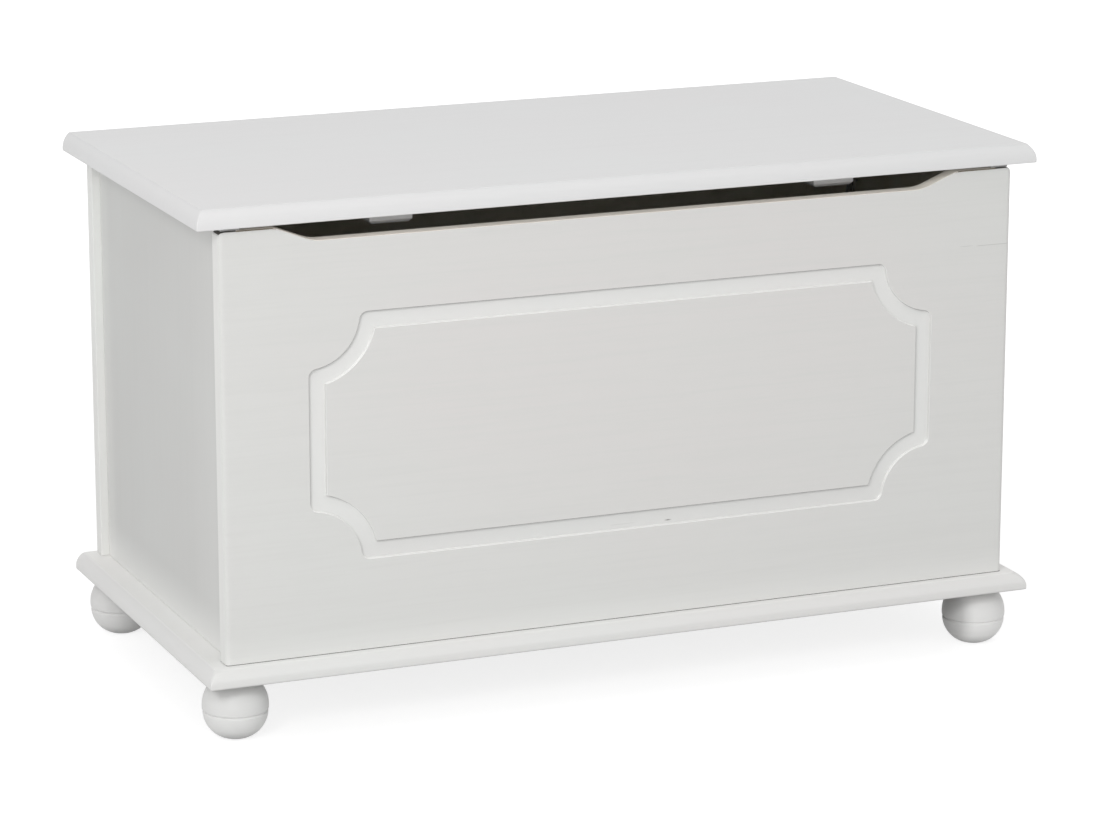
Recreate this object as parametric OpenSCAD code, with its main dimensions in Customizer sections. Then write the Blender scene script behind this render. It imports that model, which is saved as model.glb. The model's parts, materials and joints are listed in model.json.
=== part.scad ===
// Painted wooden toy chest on four ball feet. Millimetres, +Z up, front towards -Y.
// The origin is on the floor, under the middle of the chest's overall box.

/* [Chest box] */
// Width across the front and back panels
box_w = 800; // [640:10:1200]
// Depth from the front panel's face to the back panel's face
box_d = 410; // [380:5:560]
// Height of the wall panels above the base board
wall_h = 404; // [380:2:600]
// Thickness of the wall boards
board_t = 18; // [16:0.5:24]
// How far the side panels stand in from the ends of the front and back panels
side_inset = 8; // [4:0.5:14]
// Radius of the outer upright arrises of the front and back panels
arris_r = 5; // [2:0.5:8]

/* [Hand gap] */
// Distance from each end of the front panel to the hand gap
hand_gap_side = 62; // [40:1:200]
// Depth of the hand gap below the panel's top edge
hand_gap_h = 14.5; // [10:0.5:24]
// Radius of the curve that rises at each end of the hand gap
hand_gap_r = 60; // [30:1:100]

/* [Routed field] */
// Distance from each end of the front panel to the routed channel
field_side = 83.5; // [60:0.5:140]
// Distance from the base board up to the channel
field_low = 87; // [50:1:120]
// Distance from the channel up to the panel's top edge
field_high = 84; // [50:1:120]
// Width of the channel, which is the cutter's diameter
channel_w = 16; // [8:0.5:24]
// Depth of the channel
channel_depth = 3; // [1:0.5:5]
// Radius of the concave corners, on the channel's outer outline
bite_r = 50; // [34:1:70]

/* [Lid] */
// Thickness of the lid
lid_t = 18; // [17:0.5:24]
// Gap between the wall panels' top edges and the lid
lid_gap = 4; // [3.8:0.1:6]
// Overhang of the lid past each end of the front panel
lid_side = 22.5; // [16:0.5:40]
// Overhang of the lid past the front panel's face
lid_front = 9; // [4:0.5:30]
// Overhang of the lid past the back panel's face
lid_back = 2.5; // [0.5:0.5:6]

/* [Base board] */
// Thickness of the base board
base_t = 16.5; // [16:0.5:22]
// Overhang of the base board past each end of the front panel
base_side = 20.5; // [14:0.5:40]
// Overhang of the base board past the front panel's face
base_front = 16.5; // [14:0.5:40]
// Overhang of the base board past the back panel's face
base_back = 4; // [0:0.5:12]

/* [Moulded edges] */
// Radius of the upper rounding on the edges of the lid and base board
edge_r = 12; // [6:0.5:13]
// Radius of the lower rounding on the edges of the lid and base board
edge_low_r = 2.5; // [1:0.5:3]

/* [Ball feet] */
// Largest diameter of a foot
foot_d = 62; // [58:1:70]
// Height of a foot
foot_h = 59; // [56:0.5:68]
// Distance from a foot's centre to the base board's end
foot_side = 36.5; // [34:0.5:60]
// Distance from a front foot's centre to the base board's front edge
foot_front = 41.5; // [34:0.5:60]
// Distance from a rear foot's centre to the base board's back edge
foot_back = 33.5; // [30:0.5:60]
// Height of the turned V ring above the floor
ring_up = 25.5; // [22:0.5:28]
// Depth of the turned V ring
ring_depth = 1.8; // [1:0.1:2.5]

/* [Lid battens] */
// Width of a lid batten
batten_w = 42; // [30:1:60]
// Thickness of a lid batten
batten_t = 15; // [12:0.5:20]
// Distance from a side panel's inner face to the batten
batten_side = 128.5; // [90:0.5:180]
// Distance from each batten end to the panel in front of it or behind it
batten_clear = 12; // [8:0.5:30]
// Chamfer round the lower edges of a batten
batten_chamfer = 3; // [1:0.5:4]

/* [Hinges] */
// Length of a hinge along its pin
hinge_l = 65; // [50:1:100]
// Distance from a hinge to the end of the back panel
hinge_side = 97.5; // [60:0.5:200]
// Thickness of a hinge leaf
leaf_t = 1.8; // [1.2:0.1:1.8]
// Radius of a hinge pin
pin_r = 1.5; // [1.2:0.1:1.8]
// Radius of a hinge knuckle
knuckle_r = 3; // [2.8:0.1:3.4]

/* [Lid stays] */
// Distance from the hinge pin to the stay's pivot on the lid and to its slide screw on the side panel
stay_reach = 150; // [130:5:180]
// Angle between those two lines with the lid shut
stay_angle = 20; // [16:1:28]
// Width of a stay arm
stay_w = 14; // [12:0.5:18]
// Thickness of a stay arm
stay_t = 2; // [1.5:0.5:3]

/* [Fastenings] */
// Radius of the wood dowels
dowel_r = 4; // [3:0.5:4]
// Radius of a cam lock
cam_r = 7.5; // [6:0.5:7.5]
// Distance from a side panel's end to the cam lock's centre
cam_back = 34; // [24:1:40]
// Length of the screws that hold the wall panels to the base board
base_screw_l = 45; // [40:1:60]
// Length of the bolt that joins a foot to the base board
foot_bolt_l = 48; // [40:1:50]

/* [Hidden] */
$fn = 96;

white_paint = "whitesmoke";
zinc = "silver";
beech = "burlywood";

// Clearances
glue_fit = 0.05; // radial room round a dowel, screw or insert in its hole
pin_fit = 0.05; // radial room of a hinge pin or rivet in its bore
knuckle_gap = 0.3; // room between neighbouring knuckles
plate_gap = 0.3; // room between a stay arm and the plates beside it
blind_gap = 0.5; // room at the bottom of a blind hole
buffer_play = 0.2; // room between a lid buffer and the lid
eps = 0.01; // lets two shapes meet without a seam between them
past = 1; // how far a through cut runs past a face

// Heights
base_low = foot_h;
base_top = base_low + base_t;
wall_top = base_top + wall_h;
lid_low = wall_top + lid_gap;

// Depths, with the overall box centred on the origin
pin_behind = lid_back + knuckle_r; // hinge pin behind the back panel's face
front_y = (base_front - box_d - pin_behind - knuckle_r) / 2;
back_y = front_y + box_d;
front_in = front_y + board_t; // inner face of the front panel
back_in = back_y - board_t; // inner face of the back panel
pin_y = back_y + pin_behind;
pin_z = wall_top + lid_gap / 2;

// Widths
box_x = box_w / 2;
side_x = box_x - side_inset; // outer face of a side panel
inner_x = side_x - board_t; // inner face of a side panel
base_x = box_x + base_side;
lid_x = box_x + lid_side;
hinge_x = box_x - hinge_side - hinge_l / 2;
batten_x = inner_x - batten_side - batten_w / 2;

// Small screws of the hinges, battens and stay brackets
screw_r = 1.75;
screw_head_r = 3.3;
recess_w = 0.9; // width of each bar of a cross recess
recess_edge = 1.3; // from the end of a cross recess to the rim of the head
recess_floor = 0.6; // metal left under a cross recess in the countersunk head
batten_head_h = 1.6;
plate_land = 0.2; // straight wall left under a countersink in a thin plate
hinge_screw_l = 15;
hinge_screw_n = 3;
hinge_screw_y = back_y - board_t / 2;
leaf_in = 2; // from the back panel's inner face to the hinge leaves
knuckle_n = 5;
knuckle_l = (hinge_l - (knuckle_n - 1) * knuckle_gap) / knuckle_n;
batten_screw_l = 26;
batten_screw_n = 3;
bracket_screw_l = 15;

// Base screws and dowels
base_screw_r = 2.4;
base_screw_head_r = 4.5;
base_screw_head_h = 3.5;
base_screw_n = 4;
end_screw_n = 2;
dowel_in_panel = 16;
dowel_in_base = 8;
base_dowel_n = 3;

// Corner joints, at heights above the base board
cam_end = 60; // from a panel's top or bottom edge to the cam lock beside it
corner_dowel_end = 112; // from a panel's top or bottom edge to the dowel beside it
cam_zs = [base_top + cam_end, wall_top - cam_end];
corner_dowel_zs = [base_top + corner_dowel_end, wall_top - corner_dowel_end];
corner_y = [front_in, back_in];
corner_dir = [1, -1]; // from a corner joint into the side panel
cam_gap = 0.4; // cam lock's face below the panel's face
cam_floor = 1; // from the cam bolt's head down to the floor of the cam lock's pocket
cam_bolt_thread_l = 11;
cam_bolt_thread_r = 2.5;
cam_bolt_r = 3;
cam_bolt_neck_r = 1.75;
cam_bolt_head_h = 3;
cam_bolt_hole_r = cam_bolt_r + 0.3;
cam_groove_r = cam_bolt_r + 0.2; // groove through a cam lock that holds the bolt
cam_recess_w = 1.4; // width of each bar of a cam lock's cross recess
cam_recess_edge = 3; // from the end of that recess to the lock's rim
cam_recess_h = 2.5;
cam_depth = board_t / 2 + cam_bolt_r + cam_floor;
corner_dowel_in = 22; // length in the side panel
corner_dowel_out = 11; // length in the front or back panel

// Feet
foot_r = foot_d / 2;
foot_xs = [-(base_x - foot_side), base_x - foot_side];
foot_front_y = front_y - base_front + foot_front;
foot_rear_y = back_y + base_back - foot_back;
foot_bolt_r = 4;
insert_r = 6;
insert_l = 13;
upper_z = ring_up + 5; // widest height of the lobe above the ring
lower_in = 0.6; // how much narrower the lobe below the ring is
lower_r = foot_r - lower_in;
lower_curve_r = ring_up + 1.2; // radius of the lower lobe's curve, cut flat by the floor

// Stays, as offsets from the hinge pin with the lid shut
stay_drop = 11; // stay pivot below the lid's underside
stay_pivot_dz = lid_gap / 2 - stay_drop;
stay_pivot_a = asin(-stay_pivot_dz / stay_reach);
stay_pivot = [pin_y - stay_reach * cos(stay_pivot_a), pin_z + stay_pivot_dz];
stay_slide_a = stay_pivot_a + stay_angle;
stay_slide = [pin_y - stay_reach * cos(stay_slide_a), pin_z - stay_reach * sin(stay_slide_a)];
stay_open = 90; // how far the lid opens
stay_shut_l = 2 * stay_reach * sin(stay_angle / 2);
stay_open_l = 2 * stay_reach * sin((stay_angle + stay_open) / 2);
stay_dir_a = stay_pivot_a + stay_angle / 2; // the arm hangs at this angle off plumb, towards the back
slide_r = 2;
slide_fit = 0.3;
slide_head_r = 5;
slide_head_t = 2;
slide_slot_w = 1; // screwdriver slot in the slide screw's head
slide_collar_t = 3;
slide_thread_l = 12;
arm_x = inner_x - slide_collar_t - plate_gap - stay_t; // inner face of a stay arm
rivet_r = 2;
rivet_head_r = 3.6;
rivet_head_t = 1.4;
bracket_t = 1.8;
bracket_w = 16; // width of the bracket's foot plate
bracket_l = 34; // length of the bracket's foot plate
bracket_ear_r = 7;
bracket_x = arm_x - plate_gap - bracket_t; // inner face of the bracket's ear
bracket_screw_x = bracket_x - (bracket_w - bracket_t) / 2; // middle of the foot plate beside the ear

// Buffers
buffer_w = 18;
buffer_d = 12;
buffer_in = 3; // from the panel's end and face to the buffer

// n places spread evenly and centred over a span
function spread(n, span) = [for (i = [0:n - 1]) span * ((i + 1 / 2) / n - 1 / 2)];

// Slab with moulded edges in front and at both ends, mitred at the corners
module moulded_slab(half_w, y0, y1, z0, t) {
    intersection() {
        translate([0, y1, z0])
            rotate([90, 0, 0])
                linear_extrude(y1 - y0)
                    union() {
                        moulded_half(half_w, t);
                        mirror([1, 0]) moulded_half(half_w, t);
                    }
        translate([-half_w, 0, z0])
            rotate([90, 0, 90])
                linear_extrude(2 * half_w)
                    translate([y1, 0])
                        mirror([1, 0])
                            moulded_half(y1 - y0, t);
    }
}

// Half of a slab's section: square at x = 0, moulded at x = w
module moulded_half(w, t) {
    square([w - edge_r, t]);
    translate([0, edge_low_r]) square([w, t - edge_r - edge_low_r]);
    square([w - edge_low_r, t - edge_r]);
    translate([w - edge_r, t - edge_r]) quarter(edge_r);
    translate([w - edge_low_r, edge_low_r]) mirror([0, 1]) quarter(edge_low_r);
}

// Quarter of a disc, towards +X and +Y
module quarter(r) {
    intersection() {
        circle(r);
        square(r);
    }
}

// Plan of a front or back panel: outer face at y = 0 with rounded arrises, inner face at y = board_t
module panel_plan() {
    translate([-box_x, arris_r]) square([box_w, board_t - arris_r]);
    translate([arris_r - box_x, 0]) square([box_w - 2 * arris_r, arris_r]);
    for (s = [0, 1])
        mirror([s, 0])
            translate([box_x - arris_r, arris_r])
                mirror([0, 1])
                    quarter(arris_r);
}

// Panel blank with its outer face at y = 0, standing on the base board
module panel_blank() {
    translate([0, 0, base_top])
        linear_extrude(wall_h)
            panel_plan();
}

// Holes that the corner joints and the base board need in a panel whose outer face is at y = 0
module panel_holes() {
    for (s = [-1, 1]) {
        for (z = cam_zs)
            translate([s * (side_x - board_t / 2), board_t + eps, z])
                rotate([90, 0, 0])
                    cylinder(r = cam_bolt_thread_r + glue_fit, h = cam_bolt_thread_l + blind_gap + eps);
        for (z = corner_dowel_zs)
            translate([s * (side_x - board_t / 2), board_t + eps, z])
                rotate([90, 0, 0])
                    cylinder(r = dowel_r + glue_fit, h = corner_dowel_out + blind_gap + eps);
    }
    for (x = spread(base_dowel_n, 2 * inner_x))
        translate([x, board_t / 2, base_top - eps])
            cylinder(r = dowel_r + glue_fit, h = dowel_in_panel + blind_gap + eps);
    for (x = spread(base_screw_n, 2 * inner_x))
        translate([x, board_t / 2, base_top - eps])
            cylinder(r = base_screw_r + glue_fit, h = base_screw_l - base_t + blind_gap + eps);
}

// Region of the hand gap in the front panel's elevation
module hand_gap_outline() {
    half = box_x - hand_gap_side;
    ramp = sqrt(hand_gap_r * hand_gap_r - (hand_gap_r - hand_gap_h) * (hand_gap_r - hand_gap_h));
    floor_z = wall_top - hand_gap_h;
    translate([ramp - half, floor_z]) square([2 * (half - ramp), hand_gap_h + past]);
    for (s = [0, 1])
        mirror([s, 0])
            intersection() {
                translate([half - ramp, floor_z + hand_gap_r]) circle(hand_gap_r);
                translate([half - ramp - eps, floor_z]) square([ramp + hand_gap_r, hand_gap_h]);
            }
}

// Route of the cutter round the field, as a flat region in the front panel's elevation
module channel_outline() {
    cutter_r = channel_w / 2;
    half = box_x - field_side;
    low = base_top + field_low;
    high = wall_top - field_high;
    mid_r = bite_r + cutter_r;
    meet = sqrt(mid_r * mid_r - cutter_r * cutter_r);
    for (z = [low, high - channel_w])
        translate([meet - half, z]) square([2 * (half - meet), channel_w]);
    for (x = [-half, half - channel_w])
        translate([x, low + meet]) square([channel_w, high - low - 2 * meet]);
    for (s = [0, 1])
        mirror([s, 0]) {
            channel_corner([half, low], [-1, 1]);
            channel_corner([half, high], [-1, -1]);
            for (end = [[low, 1], [high, -1]]) {
                translate([half - meet, end[0] + end[1] * cutter_r]) circle(cutter_r);
                translate([half - cutter_r, end[0] + end[1] * meet]) circle(cutter_r);
            }
        }
}

// Concave corner of the channel about a corner point, towards the quadrant dir
module channel_corner(at, dir) {
    outer_r = bite_r + channel_w;
    cutter_r = channel_w / 2;
    translate(at)
        intersection() {
            difference() {
                circle(outer_r);
                circle(bite_r);
            }
            translate([dir[0] > 0 ? cutter_r : -outer_r, dir[1] > 0 ? cutter_r : -outer_r])
                square(outer_r - cutter_r);
        }
}

module front_panel() {
    color(white_paint)
        difference() {
            translate([0, front_y, 0])
                difference() {
                    panel_blank();
                    panel_holes();
                }
            translate([0, front_in + past, 0])
                rotate([90, 0, 0])
                    linear_extrude(board_t + 2 * past)
                        hand_gap_outline();
            translate([0, front_y + channel_depth, 0])
                rotate([90, 0, 0])
                    linear_extrude(channel_depth + past)
                        channel_outline();
        }
}

module back_panel() {
    color(white_paint)
        difference() {
            translate([0, back_y, 0])
                mirror([0, 1, 0])
                    difference() {
                        panel_blank();
                        panel_holes();
                    }
            for (x = hinge_screw_xs())
                translate([x, hinge_screw_y, wall_top - hinge_screw_l])
                    cylinder(r = screw_r + glue_fit, h = hinge_screw_l + eps);
        }
}

// X places of all the hinge screws
function hinge_screw_xs() =
    [for (s = [-1, 1], x = spread(hinge_screw_n, hinge_l)) s * hinge_x + x];

// Side panel on the +X side
module side_panel() {
    color(white_paint)
        difference() {
            translate([inner_x, front_in, base_top])
                cube([board_t, back_in - front_in, wall_h]);
            for (i = [0, 1]) {
                for (z = cam_zs) {
                    translate([inner_x - eps, corner_y[i] + corner_dir[i] * cam_back, z])
                        rotate([0, 90, 0])
                            cylinder(r = cam_r + glue_fit, h = cam_depth + eps);
                    translate([side_x - board_t / 2, corner_y[i] - corner_dir[i] * eps, z])
                        rotate([-90 * corner_dir[i], 0, 0])
                            cylinder(r = cam_bolt_hole_r, h = cam_back);
                }
                for (z = corner_dowel_zs)
                    translate([side_x - board_t / 2, corner_y[i] - corner_dir[i] * eps, z])
                        rotate([-90 * corner_dir[i], 0, 0])
                            cylinder(r = dowel_r + glue_fit, h = corner_dowel_in + blind_gap);
            }
            for (y = end_screw_ys())
                translate([side_x - board_t / 2, y, base_top - eps])
                    cylinder(r = base_screw_r + glue_fit, h = base_screw_l - base_t + blind_gap);
            translate([side_x - board_t / 2, (front_y + back_y) / 2, base_top - eps])
                cylinder(r = dowel_r + glue_fit, h = dowel_in_panel + blind_gap);
            translate([inner_x - eps, stay_slide[0], stay_slide[1]])
                rotate([0, 90, 0])
                    cylinder(r = slide_r + glue_fit, h = slide_thread_l + blind_gap);
        }
}

// Y places of the base screws under a side panel
function end_screw_ys() =
    [for (y = spread(end_screw_n, back_in - front_in)) (front_y + back_y) / 2 + y];

module base_board() {
    color(white_paint)
        difference() {
            moulded_slab(base_x, front_y - base_front, back_y + base_back, base_low, base_t);
            for (p = base_screw_places())
                translate([p[0], p[1], base_low - eps]) {
                    cylinder(r = base_screw_r + glue_fit, h = base_t + past);
                    countersink(base_screw_head_r, base_screw_r, base_screw_head_h);
                }
            for (p = base_dowel_places())
                translate([p[0], p[1], base_top - dowel_in_base - blind_gap])
                    cylinder(r = dowel_r + glue_fit, h = base_t);
            for (p = foot_places())
                translate([p[0], p[1], base_low - eps])
                    cylinder(r = insert_r + glue_fit, h = insert_l + blind_gap);
        }
}

function base_screw_places() = concat(
    [for (x = spread(base_screw_n, 2 * inner_x), y = [front_y + board_t / 2, back_y - board_t / 2]) [x, y]],
    [for (s = [-1, 1], y = end_screw_ys()) [s * (side_x - board_t / 2), y]]
);

function base_dowel_places() = concat(
    [for (x = spread(base_dowel_n, 2 * inner_x), y = [front_y + board_t / 2, back_y - board_t / 2]) [x, y]],
    [for (s = [-1, 1]) [s * (side_x - board_t / 2), (front_y + back_y) / 2]]
);

function foot_places() = [for (x = foot_xs, y = [foot_front_y, foot_rear_y]) [x, y]];

module lid_panel() {
    color(white_paint)
        difference() {
            moulded_slab(lid_x, front_y - lid_front, back_y + lid_back, lid_low, lid_t);
            for (x = hinge_screw_xs())
                translate([x, hinge_screw_y, lid_low - eps])
                    cylinder(r = screw_r + glue_fit, h = hinge_screw_l - leaf_t + blind_gap);
            for (s = [-1, 1], y = batten_screw_ys())
                translate([s * batten_x, y, lid_low - eps])
                    cylinder(r = screw_r + glue_fit, h = batten_screw_l - batten_t + blind_gap);
            for (s = [-1, 1], y = bracket_screw_ys())
                translate([s * bracket_screw_x, y, lid_low - eps])
                    cylinder(r = screw_r + glue_fit, h = bracket_screw_l - bracket_t + blind_gap);
        }
}

// Y places of the screws in a batten
function batten_screw_ys() =
    [for (y = spread(batten_screw_n, back_in - front_in - 2 * batten_clear)) (front_in + back_in) / 2 + y];

// Batten under the lid on the +X side, chamfered round its lower edges
module lid_batten() {
    length = back_in - front_in - 2 * batten_clear;
    color(white_paint)
        translate([batten_x, (front_in + back_in) / 2, lid_low - batten_t])
            difference() {
                intersection() {
                    rotate([90, 0, 0])
                        linear_extrude(length, center = true)
                            chamfered_section(batten_w);
                    rotate([90, 0, 90])
                        linear_extrude(batten_w, center = true)
                            chamfered_section(length);
                }
                for (y = batten_screw_ys())
                    translate([0, y - (front_in + back_in) / 2, -eps]) {
                        cylinder(r = screw_r + glue_fit, h = batten_t + past);
                        countersink(screw_head_r, screw_r, batten_head_h);
                    }
            }
}

// Section of a batten, w wide, with its lower corners cut at 45 degrees
module chamfered_section(w) {
    polygon([
        [batten_chamfer - w / 2, 0], [w / 2 - batten_chamfer, 0], [w / 2, batten_chamfer],
        [w / 2, batten_t], [-w / 2, batten_t], [-w / 2, batten_chamfer]
    ]);
}

// Seat for a countersunk head of radius head_r over a shank of radius r
module countersink(head_r, r, h) {
    cylinder(r1 = head_r + glue_fit + eps, r2 = r + glue_fit, h = h);
}

// Countersunk screw with a cross recess, head down at z = 0, running up to z = l
module wood_screw(l, r, head_r, head_h) {
    point_l = 2 * r;
    color(zinc)
        difference() {
            union() {
                cylinder(r1 = head_r, r2 = r, h = head_h);
                cylinder(r = r, h = l - point_l);
                translate([0, 0, l - point_l]) cylinder(r1 = r, r2 = r / 4, h = point_l);
            }
            for (a = [0, 90])
                rotate(a)
                    translate([recess_edge - head_r, -recess_w / 2, -eps])
                        cube([2 * (head_r - recess_edge), recess_w, head_h - recess_floor]);
        }
}

module batten_screws() {
    for (s = [-1, 1], y = batten_screw_ys())
        translate([s * batten_x, y, lid_low - batten_t])
            wood_screw(batten_screw_l, screw_r, screw_head_r, batten_head_h);
}

module base_screws() {
    for (p = base_screw_places())
        translate([p[0], p[1], base_low])
            wood_screw(base_screw_l, base_screw_r, base_screw_head_r, base_screw_head_h);
}

// Half section of a foot, from its axis outwards
module foot_section() {
    mouth = ring_depth + past; // the V's corners, past the foot's surface
    intersection() {
        difference() {
            union() {
                intersection() {
                    translate([0, upper_z]) circle(foot_r);
                    translate([0, ring_up]) square([foot_r, foot_h]);
                }
                intersection() {
                    translate([lower_r - lower_curve_r, ring_up]) circle(lower_curve_r);
                    translate([0, ring_up - lower_curve_r]) square([foot_r, lower_curve_r + eps]);
                }
                square([lower_r - lower_curve_r, ring_up + eps]);
            }
            translate([foot_r - ring_depth, ring_up])
                polygon([[0, 0], [mouth, mouth], [mouth, -mouth]]);
        }
        square([foot_r, foot_h]);
    }
}

module foot(x, y) {
    color(white_paint)
        translate([x, y, 0])
            difference() {
                rotate_extrude() foot_section();
                translate([0, 0, base_low + insert_l - foot_bolt_l - blind_gap])
                    cylinder(r = foot_bolt_r + glue_fit, h = foot_bolt_l);
            }
}

module foot_bolts() {
    color(zinc)
        for (p = foot_places())
            translate([p[0], p[1], base_low + insert_l - foot_bolt_l])
                cylinder(r = foot_bolt_r, h = foot_bolt_l);
}

module foot_inserts() {
    color(zinc)
        for (p = foot_places())
            translate([p[0], p[1], base_low])
                difference() {
                    cylinder(r = insert_r, h = insert_l);
                    translate([0, 0, -eps]) cylinder(r = foot_bolt_r + glue_fit, h = insert_l + past);
                }
}

// Start of knuckle k along the pin, from the hinge's middle
function knuckle_start(k) = k * (knuckle_l + knuckle_gap) - hinge_l / 2;

// Hinge leaf about the pin at the origin, its plate between z0 and z0 + leaf_t, with its own knuckles
module hinge_leaf(knuckles, z0) {
    plate_back = -knuckle_r - knuckle_gap;
    plate_front = back_in + leaf_in - pin_y;
    color(zinc)
        difference() {
            union() {
                translate([-hinge_l / 2, plate_front, z0])
                    cube([hinge_l, plate_back - plate_front, leaf_t]);
                for (k = knuckles)
                    translate([knuckle_start(k), 0, 0]) {
                        translate([0, plate_back - eps, z0]) cube([knuckle_l, -plate_back, leaf_t]);
                        rotate([0, 90, 0]) cylinder(r = knuckle_r, h = knuckle_l);
                    }
            }
            rotate([0, 90, 0])
                cylinder(r = pin_r + pin_fit, h = hinge_l + 2 * past, center = true);
            for (x = spread(hinge_screw_n, hinge_l))
                translate([x, hinge_screw_y - pin_y, z0 + leaf_t / 2])
                    mirror([0, 0, z0 > 0 ? 0 : 1]) {
                        cylinder(r = screw_r + glue_fit, h = leaf_t + past, center = true);
                        translate([0, 0, -leaf_t / 2 - eps])
                            countersink(screw_head_r, screw_r, leaf_t - plate_land);
                    }
        }
}

module hinge_box_leaf(s) {
    translate([s * hinge_x, pin_y, pin_z]) hinge_leaf([0, 2, 4], -lid_gap / 2);
}

module hinge_lid_leaf(s) {
    translate([s * hinge_x, pin_y, pin_z]) hinge_leaf([1, 3], lid_gap / 2 - leaf_t);
}

// Pin with a button at each end, just clear of the end knuckles
module hinge_pin(s) {
    button_t = 1;
    button_r = pin_r + 1;
    color(zinc)
        translate([s * hinge_x, pin_y, pin_z])
            rotate([0, 90, 0]) {
                cylinder(r = pin_r, h = hinge_l + 2 * pin_fit, center = true);
                for (m = [0, 1])
                    mirror([0, 0, m])
                        translate([0, 0, hinge_l / 2 + pin_fit])
                            cylinder(r = button_r, h = button_t);
            }
}

module hinge_box_screws() {
    for (x = hinge_screw_xs())
        translate([x, hinge_screw_y, wall_top + leaf_t])
            mirror([0, 0, 1])
                wood_screw(hinge_screw_l, screw_r, screw_head_r, leaf_t - plate_land);
}

module hinge_lid_screws() {
    for (x = hinge_screw_xs())
        translate([x, hinge_screw_y, lid_low - leaf_t])
            wood_screw(hinge_screw_l, screw_r, screw_head_r, leaf_t - plate_land);
}

// Slotted stay arm on the +X side, from its pivot down past the slide screw
module stay_arm() {
    end_r = stay_w / 2;
    slot_r = slide_r + slide_fit;
    color(zinc)
        translate([arm_x, stay_pivot[0], stay_pivot[1]])
            rotate([stay_dir_a, 0, 0])
                rotate([0, 90, 0])
                    difference() {
                        union() {
                            cylinder(r = end_r, h = stay_t);
                            translate([0, -end_r, 0]) cube([stay_open_l, stay_w, stay_t]);
                            translate([stay_open_l, 0, 0]) cylinder(r = end_r, h = stay_t);
                        }
                        translate([0, 0, -eps]) {
                            cylinder(r = rivet_r + pin_fit, h = stay_t + past);
                            translate([stay_shut_l, -slot_r, 0])
                                cube([stay_open_l - stay_shut_l, 2 * slot_r, stay_t + past]);
                            for (x = [stay_shut_l, stay_open_l])
                                translate([x, 0, 0]) cylinder(r = slot_r, h = stay_t + past);
                        }
                    }
}

// Y places of the screws in a stay bracket
function bracket_screw_ys() = [for (y = spread(2, bracket_l)) stay_pivot[0] + y];

// Angle bracket on the +X side: a foot plate under the lid and an ear that carries the stay
module stay_bracket() {
    plate_x = bracket_x + bracket_t - bracket_w;
    color(zinc)
        difference() {
            union() {
                translate([plate_x, stay_pivot[0] - bracket_l / 2, lid_low - bracket_t])
                    cube([bracket_w, bracket_l, bracket_t]);
                translate([bracket_x, stay_pivot[0] - bracket_ear_r, stay_pivot[1]])
                    cube([bracket_t, 2 * bracket_ear_r, lid_low - stay_pivot[1]]);
                translate([bracket_x, stay_pivot[0], stay_pivot[1]])
                    rotate([0, 90, 0])
                        cylinder(r = bracket_ear_r, h = bracket_t);
            }
            translate([bracket_x - past, stay_pivot[0], stay_pivot[1]])
                rotate([0, 90, 0])
                    cylinder(r = rivet_r + pin_fit, h = bracket_t + 2 * past);
            for (y = bracket_screw_ys())
                translate([bracket_screw_x, y, lid_low - bracket_t - eps]) {
                    cylinder(r = screw_r + glue_fit, h = bracket_t + past);
                    countersink(screw_head_r, screw_r, bracket_t - plate_land);
                }
        }
}

// Rivet through a stay bracket's ear and the arm beside it
module stay_rivet() {
    inner = bracket_x - pin_fit;
    outer = arm_x + stay_t + pin_fit;
    color(zinc)
        translate([0, stay_pivot[0], stay_pivot[1]])
            rotate([0, 90, 0]) {
                translate([0, 0, inner - rivet_head_t]) cylinder(r = rivet_head_r, h = rivet_head_t);
                translate([0, 0, inner - eps]) cylinder(r = rivet_r, h = outer - inner + 2 * eps);
                translate([0, 0, outer]) cylinder(r = rivet_head_r, h = rivet_head_t);
            }
}

// Shouldered screw in the side panel that the stay arm's slot slides along
module stay_slide_screw() {
    head_in = arm_x - plate_gap - slide_head_t;
    color(zinc)
        translate([0, stay_slide[0], stay_slide[1]])
            rotate([0, 90, 0]) {
                translate([0, 0, inner_x - slide_collar_t]) cylinder(r = slide_head_r, h = slide_collar_t);
                translate([0, 0, head_in]) cylinder(r = slide_r, h = inner_x + slide_thread_l - head_in);
                difference() {
                    translate([0, 0, head_in]) cylinder(r = slide_head_r, h = slide_head_t);
                    translate([-slide_head_r, -slide_slot_w / 2, head_in - eps])
                        cube([2 * slide_head_r, slide_slot_w, slide_head_t / 2]);
                }
            }
}

module stay_bracket_screws() {
    for (s = [-1, 1], y = bracket_screw_ys())
        translate([s * bracket_screw_x, y, lid_low - bracket_t])
            wood_screw(bracket_screw_l, screw_r, screw_head_r, bracket_t - plate_land);
}

// Buffer pad on the front panel's top edge, at its +X end
module lid_buffer() {
    color("gray")
        translate([box_x - buffer_in - buffer_w, front_y + buffer_in, wall_top])
            cube([buffer_w, buffer_d, lid_gap - buffer_play]);
}

// Bolt of a cam joint along +Z, with the joint's face at z = 0
module cam_bolt() {
    head_z = cam_back - cam_bolt_head_h / 2;
    neck_z = cam_back - cam_r - blind_gap;
    translate([0, 0, -cam_bolt_thread_l])
        cylinder(r = cam_bolt_thread_r, h = cam_bolt_thread_l + eps);
    cylinder(r = cam_bolt_r, h = neck_z);
    translate([0, 0, neck_z - eps])
        cylinder(r = cam_bolt_neck_r, h = head_z - neck_z + 2 * eps);
    translate([0, 0, head_z])
        cylinder(r = cam_bolt_r, h = cam_bolt_head_h);
}

module cam_bolts() {
    color(zinc)
        for (s = [-1, 1], i = [0, 1], z = cam_zs)
            translate([s * (side_x - board_t / 2), corner_y[i], z])
                rotate([-90 * corner_dir[i], 0, 0])
                    cam_bolt();
}

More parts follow.
